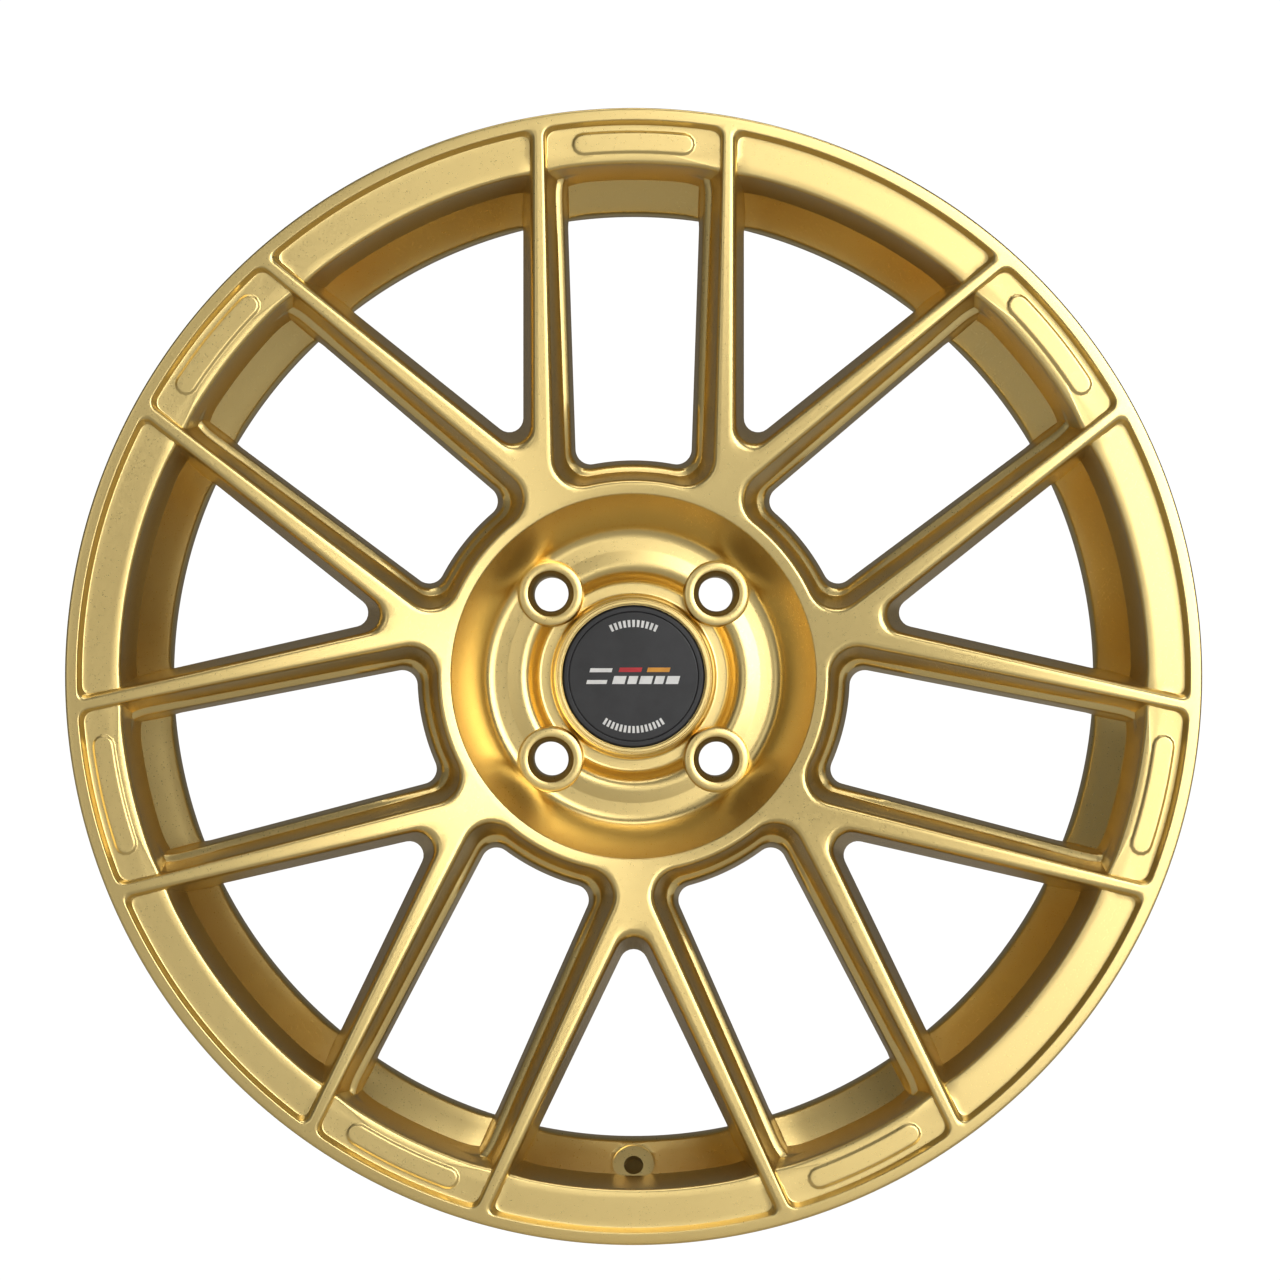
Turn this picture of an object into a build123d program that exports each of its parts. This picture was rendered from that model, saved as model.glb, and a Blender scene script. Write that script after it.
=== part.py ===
"""One-piece forged racing wheel, 17 x 7 J, offset 30, four bolts on a 100 mm circle.

The wheel's axis is Y. The street face looks along -Y, +Z is up, and the origin is on the axis, halfway
through the rim's width. Lengths are millimetres. A depth is measured from the street face along +Y.

The forging is one piece of metal. It is written here as the zones that a wheel maker names, rings, a
centre and fourteen spokes, which meet face to face.
"""

import os
from math import atan2, cos, hypot, radians, sin, tan, tau

from build123d import *

# Rim, to the J flange standard
BEAD_R = 436.6 / 2  # bead seat, where it meets the flange
SEAT_GAP = 177.8  # between the two flanges: 7 inches
FLANGE_HEIGHT = 17.3
FLANGE_WIDTH = 12.5
FLANGE_CURL = 9.5
BEAD_CORNER = 6.5
SEAT_WIDTH = 20.0
SEAT_TAPER = 5.0  # degrees
HUMP_HEIGHT = 1.6
RIM_WIDTH = SEAT_GAP + 2 * FLANGE_WIDTH
FLANGE_R = BEAD_R + FLANGE_HEIGHT
STREET_FACE = -RIM_WIDTH / 2
SEAT_END_R = BEAD_R - SEAT_WIDTH * tan(radians(SEAT_TAPER))

# Street side of the rim
LIP_R = 230.5  # inner edge of the flat lip
PAD_OUTER_R = 228.0
PAD_INNER_R = 213.8
PAD_DEPTH = 3.6
WALL_END_R = 211.3  # foot of the steep wall behind the pads
WALL_END_DEPTH = 45.0
WELL_SIDE_DEPTH = 46.5  # where the tyre's side turns down into the well

# Drop well and barrel
WELL_R = 198.0  # at its street end
WELL_END_R = 202.8  # at its other end, because the well is drafted
WELL_SKIN = 3.4
WELL_START = 52.0
WELL_DRAFT_START = 60.0
WELL_END = 94.0
BARREL_R = 209.8
BARREL_START = 122.0
BARREL_END = 163.0
BARREL_END_R = 211.6
REAR_SEAT_R = 214.4

# Disc, the forged face that the windows are cut from
FACE_AT_BOWL = 12.0
FACE_CAMBER = 4.5  # depth of the face halfway along a spoke
SPOKE_BACK = 50.0
MOUNT_DEPTH = RIM_WIDTH / 2 - 30.0  # offset 30
MOUNT_R = 70.0
BOWL_R = 76.4

# Hub bowl
RIDGE_DEPTH = 45.0
RECESS_DEPTH = 52.0
COLLAR_DEPTH = 41.0
COLLAR_R = 33.9
CAP_SEAT_R = 30.9
CAP_SEAT_DEPTH = 44.5
CAP_BORE_R = 28.6
HUB_BORE_R = 67.1 / 2
HUB_BORE_START = 54.0

# Bolts
BOLTS = 4
BOLT_CIRCLE_R = 50.0
BOLT_HOLE_R = 7.5
BOLT_SEAT_R = 10.0
BOSS_R = 14.0
BOSS_DEPTH = 43.0
SEAT_CONE = 30.0  # degrees from the hole's axis

# Windows: seven with parallel sides, and seven triangular ones between them
PAIRS = 7
STEP_DEPTH = 24.0
FACE_HALF_INNER = 32.0  # half width at the step, near the hub
FACE_HALF_OUTER = 34.0  # the same, near the rim
FACE_DRAFT = 9.0
FACE_END_R = 85.6
FACE_CORNER = 11.0
THROUGH_HALF_INNER = 25.4
THROUGH_HALF_OUTER = 27.9
THROUGH_DRAFT = 3.0
THROUGH_END_R = 92.6
THROUGH_CORNER = 6.3
SIDE_HALF = 47.1  # from a parallel window's centre line to the triangular window's side, at the back
SIDE_DRAFT = 6.5
TIP_RADIUS = 6.0
CENTRE_FLAT = 106.0  # half width across the flats of the wheel's centre, where the spokes begin
OUTLINE_START = 60.0
OUTLINE_END = 250.0

# Raised arc-shaped panel on the pad of each parallel window
PANEL_R = 221.9
PANEL_HEIGHT = 8.2
PANEL_HALF = 5.4  # degrees, to the centre of its round end
PANEL_TOP_DEPTH = 3.4
PANEL_ROOT_DEPTH = 6.0

# Valve hole
VALVE_R = 4.15
VALVE_FACE_R = 9.0
VALVE_PLACE_R = 208.5
VALVE_DEPTH = 46.4
VALVE_TILT = 28.0  # degrees from the wheel's axis
VALVE_FACE_SINK = 0.6

# Hub-centric ring
RING_R = 33.5
RING_BORE_R = 60.1 / 2
RING_LENGTH = 12.0
RING_CHAMFER = 0.8

# Centre cap
CAP_R = 30.5
CAP_FACE_DEPTH = 41.9
CAP_EDGE = 0.8
BADGE_R = 27.5
BADGE_RECESS_R = 27.6
BADGE_RECESS = 0.5
BADGE_THICKNESS = 0.6
LEG_R = 27.6
LEG_INNER_R = 25.8
LEG_END = 57.5
LEG_SLOTS = 8
LEG_SLOT_WIDTH = 5.0
LEG_ROOT = 46.5
HOOK_R = 28.3
HOOK_START = 54.6
HOOK_END = 56.2
WIRE_R = 0.8
WIRE_GAP = 14.0  # degrees left open
WIRE_DEPTH = 55.4
WIRE_PLAY = 0.05


def axial(depth):
    """The Y coordinate at a depth behind the street face."""
    return STREET_FACE + depth


def turned(corners):
    """A solid turned about the wheel's axis from (radius, depth, corner radius) points."""
    points = [(radius, axial(depth)) for radius, depth, _ in corners]
    outline = FilletPolyline(*points, radius=[rounding for _, _, rounding in corners], close=True)
    return revolve(make_face(outline), Axis.Y)


def facing(depth):
    """A drawing plane across the wheel at a depth, X to the right and Z up, looking at the street face."""
    return Plane(origin=(0, axial(depth), 0), x_dir=(1, 0, 0), z_dir=(0, -1, 0))


def around(shape, count, first=0.0):
    """Copies of a shape, spaced evenly about the wheel's axis."""
    return [Rot(0, first + 360 / count * turn, 0) * shape for turn in range(count)]


def whole_rim():
    """The complete rim, from the street lip to the flange on the car's side."""
    rear_seat = RIM_WIDTH - FLANGE_WIDTH
    rear_hump = rear_seat - SEAT_WIDTH
    return turned(
        [
            (FLANGE_R, 0, 2.2),
            (FLANGE_R, FLANGE_WIDTH, FLANGE_CURL),
            (BEAD_R, FLANGE_WIDTH, BEAD_CORNER),
            (SEAT_END_R, FLANGE_WIDTH + SEAT_WIDTH, 0),
            (SEAT_END_R + HUMP_HEIGHT, FLANGE_WIDTH + SEAT_WIDTH + 2.2, 1.2),
            (SEAT_END_R - 0.7, WELL_SIDE_DEPTH, 2.5),
            (WELL_R + WELL_SKIN, WELL_START + 5.0, 8),
            (WELL_END_R + WELL_SKIN, WELL_END - 2.0, 8),
            (BARREL_R + WELL_SKIN, BARREL_START - 2.0, 10),
            (BARREL_END_R + WELL_SKIN, BARREL_END, 3),
            (SEAT_END_R + HUMP_HEIGHT, rear_hump - 2.2, 1.2),
            (SEAT_END_R, rear_hump, 0),
            (BEAD_R, rear_seat, BEAD_CORNER),
            (FLANGE_R, rear_seat, FLANGE_CURL),
            (FLANGE_R, RIM_WIDTH, 2.5),
            (FLANGE_R - 6.0, RIM_WIDTH, 4),
            (REAR_SEAT_R + 7.6, RIM_WIDTH - 7.3, 5),
            (REAR_SEAT_R, RIM_WIDTH - 14.8, 6),
            (BARREL_END_R + 1.0, rear_hump - 2.0, 6),
            (BARREL_R, BARREL_START, 10),
            (WELL_END_R, WELL_END, 8),
            (WELL_R, WELL_DRAFT_START, 8),
            (WELL_R, WELL_START, 2.5),
            (WALL_END_R, WALL_END_DEPTH, 3),
            (PAD_INNER_R, PAD_DEPTH + 1.0, 1.5),
            (PAD_OUTER_R, PAD_DEPTH, 1.6),
            (LIP_R, 0, 0.6),
        ]
    )


def valve_cut():
    """The valve's hole and the flat spot face round it, in the triangular window at the bottom."""
    tilt = radians(VALVE_TILT)
    inward = Vector(0, -cos(tilt), sin(tilt))
    seat = Plane(
        origin=Vector(0, axial(VALVE_DEPTH), -VALVE_PLACE_R) + inward * VALVE_FACE_SINK,
        x_dir=(1, 0, 0),
        z_dir=inward,
    )
    spot = extrude(seat * Circle(VALVE_FACE_R), 9)
    hole = extrude(seat * Circle(VALVE_R), 12, both=True)
    return spot + hole


def pad_panels():
    """The raised panels, one on each parallel window's pad."""
    middle = CenterArc((0, 0), PANEL_R, 90 - PANEL_HALF, 2 * PANEL_HALF)
    outline = facing(PANEL_ROOT_DEPTH) * SlotArc(middle, PANEL_HEIGHT)
    return around(extrude(outline, PANEL_ROOT_DEPTH - PANEL_TOP_DEPTH), PAIRS)


def rim_zones():
    """The rim's named zones, each a ring between two planes across the axis."""
    rim = whole_rim() + pad_panels() - valve_cut()
    rear_seat = RIM_WIDTH - FLANGE_WIDTH
    limits = {
        "front_flange": (0, FLANGE_WIDTH),
        "front_bead_seat": (FLANGE_WIDTH, WELL_SIDE_DEPTH - 5.0),
        "front_well_side": (WELL_SIDE_DEPTH - 5.0, WELL_START + 5.0),
        "drop_well": (WELL_START + 5.0, WELL_END - 2.0),
        "rear_well_side": (WELL_END - 2.0, BARREL_START),
        "rear_barrel": (BARREL_START, BARREL_END),
        "rear_bead_seat": (BARREL_END, rear_seat),
        "rear_flange": (rear_seat, RIM_WIDTH),
    }
    zones = {}
    for name, (start, end) in limits.items():
        slab = extrude(facing(end) * Circle(FLANGE_R + 10), end - start)
        zones[name] = rim & slab
    return rim, zones


def disc_blank():
    """The centre disc before its windows are cut, with the bowl, the ridge, the collar and the bores."""
    return turned(
        [
            (CAP_SEAT_R, COLLAR_DEPTH, 0.6),
            (COLLAR_R, COLLAR_DEPTH, 1.2),
            (COLLAR_R + 0.5, RECESS_DEPTH, 1.5),
            (41.0, RECESS_DEPTH, 2.5),
            (46.0, RIDGE_DEPTH, 3.5),
            (54.5, RIDGE_DEPTH, 4.0),
            (60.5, RIDGE_DEPTH + 6.0, 3.5),
            (BOWL_R - 2.6, FACE_AT_BOWL + 2.0, 4.0),
            (BOWL_R + 2.5, FACE_AT_BOWL - 1.0, 4.0),
            ((BOWL_R + LIP_R) / 2, FACE_CAMBER, 200.0),
            (LIP_R, 0, 0),
            (LIP_R, SPOKE_BACK, 0),
            (98.0, SPOKE_BACK, 12.0),
            (MOUNT_R + 4.0, MOUNT_DEPTH - 9.0, 4.0),
            (MOUNT_R, MOUNT_DEPTH, 1.0),
            (HUB_BORE_R, MOUNT_DEPTH, 0),
            (HUB_BORE_R, HUB_BORE_START, 0),
            (CAP_BORE_R, HUB_BORE_START, 0),
            (CAP_BORE_R, CAP_SEAT_DEPTH, 0),
            (CAP_SEAT_R, CAP_SEAT_DEPTH, 0),
        ]
    )


def parallel_window():
    """One parallel-sided window: a drafted opening down to a step, and a narrower one through the disc."""

    def outline(half_inner, half_outer, end_radius, corner):
        sides = make_face(
            Polyline(
                (-half_inner, OUTLINE_START),
                (half_inner, OUTLINE_START),
                (half_outer * 1.04, OUTLINE_END),
                (-half_outer * 1.04, OUTLINE_END),
                close=True,
            )
        )
        opening = sides - Circle(end_radius)
        return fillet(opening.vertices().sort_by(Axis.Y)[:2], corner)

    face = outline(FACE_HALF_INNER - 1.2, FACE_HALF_OUTER, FACE_END_R, FACE_CORNER)
    through = outline(THROUGH_HALF_INNER - 0.6, THROUGH_HALF_OUTER, THROUGH_END_R, THROUGH_CORNER)
    upper = extrude(facing(STEP_DEPTH) * face, STEP_DEPTH + 5, taper=-FACE_DRAFT)
    lower = extrude(facing(MOUNT_DEPTH) * through, MOUNT_DEPTH, taper=-THROUGH_DRAFT)
    return upper + lower


def triangular_window():
    """One triangular window, its tip towards the hub, drafted so that it is widest at the face."""
    half_angle = radians(180 / PAIRS)
    tip = SIDE_HALF / sin(half_angle)
    reach = OUTLINE_END / cos(half_angle) - tip * 0.5
    corner = (reach * sin(half_angle), tip + reach * cos(half_angle))
    outline = FilletPolyline(
        (0, tip),
        corner,
        (-corner[0], corner[1]),
        radius=[TIP_RADIUS, 0, 0],
        close=True,
    )
    section = facing(SPOKE_BACK + 4) * make_face(outline)
    through = extrude(section, SPOKE_BACK + 8, dir=(0, -1, 0), taper=-SIDE_DRAFT)
    return Rot(0, 180 / PAIRS, 0) * through


def bolt_places():
    """The angles of the bolt holes, counted from the top."""
    return [360 / BOLTS * (bolt + 0.5) for bolt in range(BOLTS)]


def bolt_features():
    """The raised bosses, and the holes with their conical seats."""
    cone = (BOLT_SEAT_R - BOLT_HOLE_R) / tan(radians(SEAT_CONE))
    boss = extrude(facing(RECESS_DEPTH + 4) * Circle(BOSS_R), RECESS_DEPTH + 4 - BOSS_DEPTH)
    boss = fillet(boss.faces().sort_by(Axis.Y)[0].edges(), 2.5)
    seat = extrude(facing(BOSS_DEPTH + cone) * Circle(BOLT_HOLE_R), cone + 1, taper=-SEAT_CONE)
    hole = seat + extrude(facing(MOUNT_DEPTH + 1) * Circle(BOLT_HOLE_R), MOUNT_DEPTH + 1 - BOSS_DEPTH)
    bosses = []
    holes = []
    for angle in bolt_places():
        place = Rot(0, angle, 0) * Pos(0, 0, BOLT_CIRCLE_R)
        bosses.append(place * boss)
        holes.append(place * hole)
    return bosses, holes


def centre_and_spokes(rim):
    """The wheel's centre, a seven-sided star, and the fourteen spokes that run from it to the rim."""
    bosses, holes = bolt_features()
    blank = disc_blank() + bosses
    disc = blank - holes - around(parallel_window(), PAIRS) - around(triangular_window(), PAIRS)
    flats = RegularPolygon(CENTRE_FLAT, PAIRS, major_radius=False, rotation=90 + 180 / PAIRS)
    core = extrude(facing(MOUNT_DEPTH + 1) * flats, MOUNT_DEPTH + 2)
    centre = disc & core
    loose = (disc - core - rim).solids()
    spokes = [solid for solid in loose if hypot(solid.center().X, solid.center().Z) < WELL_R]
    spokes.sort(key=lambda solid: atan2(solid.center().X, solid.center().Z) % tau)
    return centre, spokes


def hub_ring():
    """The ring that fits the wheel's bore to the car's hub."""
    front = MOUNT_DEPTH - RING_LENGTH
    return turned(
        [
            (RING_BORE_R, front, 0),
            (RING_R - RING_CHAMFER, front, 0),
            (RING_R, front + RING_CHAMFER, 0),
            (RING_R, MOUNT_DEPTH, 0),
            (RING_BORE_R + RING_CHAMFER, MOUNT_DEPTH, 0),
            (RING_BORE_R, MOUNT_DEPTH - RING_CHAMFER, 0),
        ]
    )


def cap_shell():
    """The moulded cap: a disc with a recess for the badge, and a skirt slotted into hooked legs."""
    cap = turned(
        [
            (0, CAP_FACE_DEPTH + BADGE_RECESS, 0),
            (BADGE_RECESS_R, CAP_FACE_DEPTH + BADGE_RECESS, 0),
            (BADGE_RECESS_R, CAP_FACE_DEPTH, 0),
            (CAP_R - CAP_EDGE, CAP_FACE_DEPTH, 0),
            (CAP_R, CAP_FACE_DEPTH + CAP_EDGE, 0),
            (CAP_R, CAP_SEAT_DEPTH, 0),
            (LEG_R, CAP_SEAT_DEPTH, 0),
            (LEG_R, HOOK_START, 0),
            (HOOK_R, HOOK_START, 0),
            (HOOK_R, HOOK_END, 0),
            (LEG_R, LEG_END, 0),
            (LEG_INNER_R, LEG_END, 0),
            (LEG_INNER_R, CAP_SEAT_DEPTH, 0),
            (0, CAP_SEAT_DEPTH, 0),
        ]
    )
    slot = Pos(0, axial((LEG_ROOT + LEG_END) / 2 + 1), LEG_R) * Box(LEG_SLOT_WIDTH, LEG_END - LEG_ROOT + 2, 10)
    return cap - around(slot, LEG_SLOTS)


def cap_badge():
    """The thin disc set into the cap's face."""
    front = CAP_FACE_DEPTH + BADGE_RECESS - BADGE_THICKNESS
    return extrude(facing(front + BADGE_THICKNESS) * Circle(BADGE_R), BADGE_THICKNESS)


def cap_wire():
    """The open wire ring that springs the cap's legs outwards."""
    centre_r = LEG_INNER_R - WIRE_R - WIRE_PLAY
    section = Pos(centre_r, axial(WIRE_DEPTH), 0) * Circle(WIRE_R)
    return Rot(0, 90 + WIRE_GAP / 2, 0) * revolve(section, Axis.Y, 360 - WIRE_GAP)


def main():
    """Build every node and write one STEP file for each."""
    os.makedirs("parts", exist_ok=True)
    rim, nodes = rim_zones()
    centre, spokes = centre_and_spokes(rim)
    nodes["wheel_centre"] = centre
    for number, spoke in enumerate(spokes, start=1):
        nodes[f"spoke_{number:02d}"] = spoke
    nodes["hub_ring"] = hub_ring()
    nodes["cap_shell"] = cap_shell()
    nodes["cap_badge"] = cap_badge()
    nodes["cap_wire_ring"] = cap_wire()
    for name, node in nodes.items():
        export_step(node, f"parts/{name}.step")
        print(f"{name}: {len(node.solids())} solid, {node.volume / 1000:.1f} cm3")


main()
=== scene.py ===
"""Looks of a one-piece forged wheel: a seamless satin gold forging, a black snap-in cap and a centring ring.

The wheel's axis is Y and its street face looks along -Y. A depth is measured from the street face along +Y.
Sizes in the classes are millimetres. Plan points are (sideways, outward, depth) of the sector that stands
round the +Z axis, between the middle of a parallel window and the middle of the triangular one beside it.
"""

import logging
from collections.abc import Callable
from dataclasses import dataclass, field
from enum import Enum
from math import atan2, cos, hypot, pi, radians, sin, sqrt, tan

import bmesh
import bpy
import numpy as np
from mathutils import Matrix, Vector

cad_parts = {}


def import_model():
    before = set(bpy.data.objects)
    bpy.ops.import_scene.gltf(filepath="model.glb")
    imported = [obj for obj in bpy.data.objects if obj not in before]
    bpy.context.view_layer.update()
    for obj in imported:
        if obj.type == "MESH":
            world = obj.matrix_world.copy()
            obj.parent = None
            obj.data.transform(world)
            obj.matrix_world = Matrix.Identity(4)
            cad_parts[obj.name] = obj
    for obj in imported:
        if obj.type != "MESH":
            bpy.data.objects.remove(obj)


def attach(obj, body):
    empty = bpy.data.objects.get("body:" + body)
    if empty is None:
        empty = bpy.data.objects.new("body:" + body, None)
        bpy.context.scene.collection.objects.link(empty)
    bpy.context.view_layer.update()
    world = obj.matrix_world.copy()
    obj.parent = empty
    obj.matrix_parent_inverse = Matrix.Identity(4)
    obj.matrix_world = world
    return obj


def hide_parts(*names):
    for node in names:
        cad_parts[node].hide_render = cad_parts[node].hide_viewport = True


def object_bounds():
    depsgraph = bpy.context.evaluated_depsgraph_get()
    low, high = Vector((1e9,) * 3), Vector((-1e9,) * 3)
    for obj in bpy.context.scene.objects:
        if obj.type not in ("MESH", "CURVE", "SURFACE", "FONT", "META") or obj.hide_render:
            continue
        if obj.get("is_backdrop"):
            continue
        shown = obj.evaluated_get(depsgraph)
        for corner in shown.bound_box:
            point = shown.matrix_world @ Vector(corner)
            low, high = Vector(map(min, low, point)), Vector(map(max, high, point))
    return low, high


MM = 0.001
LOG = logging.getLogger("wheel")
Point = tuple[float, float, float]
Flat = tuple[float, float]
Level = Callable[[float], float]
Piece, Tree, Node = bpy.types.Object, bpy.types.NodeTree, bpy.types.Node
PAIRS = 7
SECTOR = pi / PAIRS


class Slot(Enum):
    """The record's material slots."""

    GOLD = "gold_paint"
    CAP = "cap_black"
    BADGE = "badge_foil"
    RING = "ring_plastic"
    WIRE = "spring_steel"


class Body(Enum):
    """The bodies that pieces ride on."""

    WHEEL = "wheel"
    CAP = "cap"


def lerp(start: float, end: float, share: float) -> float:
    """A value part of the way from start to end."""
    return start + (end - start) * share


def ease(share: float) -> float:
    """A smooth step from 0 to 1."""
    clamped = min(1.0, max(0.0, share))
    return clamped * clamped * (3 - 2 * clamped)


def polar(radius: float, angle: float) -> Flat:
    """The plan point at a radius and an angle from the parallel window's middle."""
    return (radius * sin(angle), radius * cos(angle))


def between(start: Flat, end: Flat, share: float) -> Flat:
    """A plan point part of the way from start to end."""
    return (lerp(start[0], end[0], share), lerp(start[1], end[1], share))


def even(count: int) -> list[float]:
    """Shares from 0 to 1 in count equal steps."""
    return [step / count for step in range(count + 1)]


def bend(corner: Flat, start: Flat, end: Flat, steps: int, roundness: float) -> list[Flat]:
    """A corner's plan points, from start to end, rounded by a share.

    Args:
        corner: the sharp corner.
        start: where the corner's region begins.
        end: where it ends.
        steps: an even number of stretches.
        roundness: 0 for a sharp corner, 1 for one curve from start to end.

    Returns:
        steps + 1 points.
    """
    out = []
    for share in even(steps):
        sharp = between(start, corner, share * 2) if share < 0.5 else between(corner, end, share * 2 - 1)
        soft = between(between(start, corner, share), between(corner, end, share), share)
        out.append(between(sharp, soft, roundness))
    return out


def coons(top: list[Flat], bottom: list[Flat], left: list[Flat], right: list[Flat]) -> list[list[Flat]]:
    """Rows of plan points that fill four sides.

    Args:
        top: the first row.
        bottom: the last row.
        left: the first column, from top to bottom.
        right: the last column, from top to bottom.

    Returns:
        One row for each point of left.
    """
    rows = []
    for down in range(len(left)):
        v = down / (len(left) - 1)
        row = []
        for across in range(len(top)):
            u = across / (len(top) - 1)
            along = between(top[across], bottom[across], v)
            over = between(left[down], right[down], u)
            flat = between(between(top[0], top[-1], u), between(bottom[0], bottom[-1], u), v)
            row.append((along[0] + over[0] - flat[0], along[1] + over[1] - flat[1]))
        rows.append(row)
    return rows


def arc_bend(corners: list[Point], steps: int) -> list[Flat]:
    """A (radius, depth) profile whose corners are rounded.

    Args:
        corners: the profile's corners, as (radius, depth, corner radius), 0 for a sharp one.
        steps: stretches in each round corner.

    Returns:
        The rounded profile.
    """
    points = [corner[:2] for corner in corners]
    out = [points[0]]
    for before, here, after, (*_, radius) in zip(points, points[1:], points[2:], corners[1:-1]):
        if not radius:
            out.append(here)
            continue
        back = Vector(before) - Vector(here)
        ahead = Vector(after) - Vector(here)
        reach = min(radius / tan(back.angle(ahead) / 2), 0.48 * back.length, 0.48 * ahead.length)
        start = Vector(here) + back.normalized() * reach
        end = Vector(here) + ahead.normalized() * reach
        for share in even(steps):
            out.append(between(between(start, here, share), between(here, end, share), share))
    return out + [points[-1]]


class Mill:
    """Mesh-making moves that the sub-assemblies share."""

    street: float = 0.0

    @staticmethod
    def clear() -> None:
        """Leave edit mode and deselect everything."""
        if bpy.context.mode != "OBJECT":
            bpy.ops.object.mode_set(mode="OBJECT")
        bpy.ops.object.select_all(action="DESELECT")

    @classmethod
    def pick(cls, *pieces: Piece) -> Piece:
        """Select pieces and make the first one active."""
        cls.clear()
        for piece in pieces:
            piece.select_set(True)
        bpy.context.view_layer.objects.active = pieces[0]
        return pieces[0]

    @classmethod
    def place(cls, sideways: float, outward: float, depth: float) -> Point:
        """A plan point in Blender's metres."""
        return (sideways * MM, cls.street + depth * MM, outward * MM)

    @classmethod
    def draped(cls, name: str, rows: list[list[Point]]) -> Piece:
        """A grid primitive draped over rows of plan points.

        Args:
            name: the piece's name.
            rows: equally long rows of (sideways, outward, depth).

        Returns:
            The new piece.
        """
        cls.clear()
        bpy.ops.mesh.primitive_grid_add(x_subdivisions=len(rows[0]) - 1, y_subdivisions=len(rows) - 1, size=1)
        piece = bpy.context.object
        piece.name = name
        places = np.array([cls.place(*point) for row in rows for point in row], float)
        piece.data.vertices.foreach_set("co", places.reshape(-1))
        piece.data.update()
        return piece

    @classmethod
    def joined(cls, name: str, pieces: list[Piece]) -> Piece:
        """Join pieces into the first one, under a new name."""
        whole = cls.pick(*pieces)
        if len(pieces) > 1:
            bpy.ops.object.join()
        whole.name = name
        return whole

    @classmethod
    def welded(cls, piece: Piece, gap: float = 0.02) -> Piece:
        """Merge a piece's doubles within a gap in millimetres, and turn its faces outwards."""
        cls.pick(piece)
        bpy.ops.object.mode_set(mode="EDIT")
        bpy.ops.mesh.select_all(action="SELECT")
        bpy.ops.mesh.remove_doubles(threshold=gap * MM)
        bpy.ops.mesh.normals_make_consistent(inside=False)
        bpy.ops.object.mode_set(mode="OBJECT")
        return piece

    @classmethod
    def spun(cls, name: str, profile: list[Flat], steps: int, closed: bool = True) -> Piece:
        """A (radius, depth) profile turned about the wheel's axis.

        Args:
            name: the piece's name.
            profile: the profile's points.
            steps: number of stretches round the axis.
            closed: whether the last point joins the first.

        Returns:
            The new piece, welded.
        """
        cls.clear()
        bpy.ops.mesh.primitive_circle_add(vertices=len(profile), radius=1)
        piece = bpy.context.object
        piece.name = name
        for vertex, (radius, depth) in zip(piece.data.vertices, profile):
            vertex.co = cls.place(0, radius, depth)
        bpy.ops.object.mode_set(mode="EDIT")
        if not closed:
            edit = bmesh.from_edit_mesh(piece.data)
            edit.verts.ensure_lookup_table()
            ends = {edit.verts[0], edit.verts[len(profile) - 1]}
            for edge in [edge for edge in edit.edges if set(edge.verts) == ends]:
                edit.edges.remove(edge)
            bmesh.update_edit_mesh(piece.data)
        bpy.ops.mesh.select_all(action="SELECT")
        bpy.ops.mesh.spin(steps=steps, angle=2 * pi, center=(0, 0, 0), axis=(0, 1, 0))
        bpy.ops.object.mode_set(mode="OBJECT")
        return cls.welded(piece, 0.004)

    @classmethod
    def drill(cls, piece: Piece, cutter: Piece) -> None:
        """Cut a cutter out of a piece, and remove the cutter."""
        cut = piece.modifiers.new("cut", "BOOLEAN")
        cut.operation = "DIFFERENCE"
        cut.solver = "EXACT"
        cut.object = cutter
        cls.pick(piece)
        bpy.ops.object.modifier_apply(modifier=cut.name)
        bpy.data.objects.remove(cutter, do_unlink=True)

    @classmethod
    def smooth(cls, piece: Piece, angle: float = 38.0) -> Piece:
        """Shade a piece smooth, apart from edges sharper than an angle in degrees."""
        cls.pick(piece)
        bpy.ops.object.shade_smooth_by_angle(angle=radians(angle))
        weighted = piece.modifiers.new("weighted", "WEIGHTED_NORMAL")
        weighted.keep_sharp = True
        bpy.ops.object.modifier_apply(modifier=weighted.name)
        return piece

    @staticmethod
    def twin(piece: Piece, move: Matrix) -> Piece:
        """A copy of a piece, with its own mesh, moved by a matrix."""
        copy = piece.copy()
        copy.data = piece.data.copy()
        copy.data.transform(move)
        bpy.context.scene.collection.objects.link(copy)
        return copy


@dataclass
class Ring:
    """One ring round a window: where it lies on the rim, and across the spoke's wall."""

    rim_radius: float
    rim_depth: float
    across: float  # place across the spoke's wall, 0 at the face's edge
    side_depth: Callable[[float, float, float], float]  # of the face's, the step's and the back's depth
    roundness: float


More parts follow.
